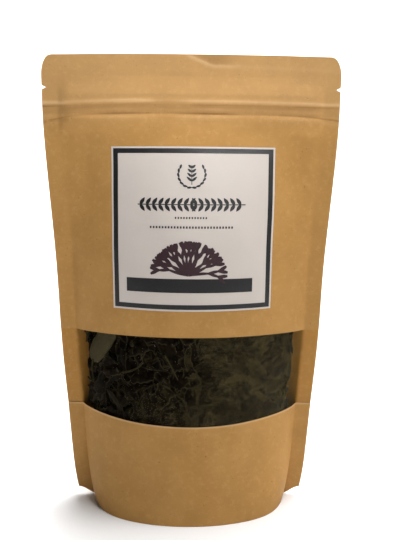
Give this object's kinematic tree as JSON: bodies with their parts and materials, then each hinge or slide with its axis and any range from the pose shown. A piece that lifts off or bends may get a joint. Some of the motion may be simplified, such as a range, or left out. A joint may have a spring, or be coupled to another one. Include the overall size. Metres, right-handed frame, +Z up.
{
  "type": "stand-up pouch of dried bladderwrack",
  "caption": "Filled kraft stand-up pouch with a folded base, zip, square label and clear strip window onto dried cut seaweed.",
  "frame": {"origin": "middle of the base, on the surface that the pouch stands on", "axes": "+X across the flat width, +Y from the front to the back, +Z up; the window and label face -Y"},
  "size_m": [0.13, 0.0614, 0.2073],
  "materials": {
    "kraft_paper": "matt brown kraft laminate",
    "kraft_base": "matt brown kraft laminate",
    "clear_film": "glossy clear film, a little hazy",
    "label_paper": "satin coated paper",
    "zip_plastic": "milky clear plastic",
    "dried_seaweed": "dry, leathery, dark olive to black"
  },
  "bodies": {
    "root": {"front_upper_panel": "kraft_paper", "front_lower_panel": "kraft_paper", "back_panel": "kraft_paper", "bottom_gusset": "kraft_base", "window_film": "clear_film", "label": "label_paper", "zip_groove_strip": "zip_plastic", "zip_rib_strip": "zip_plastic", "dried_bladderwrack": "dried_seaweed"}
  },
  "joints": []
}
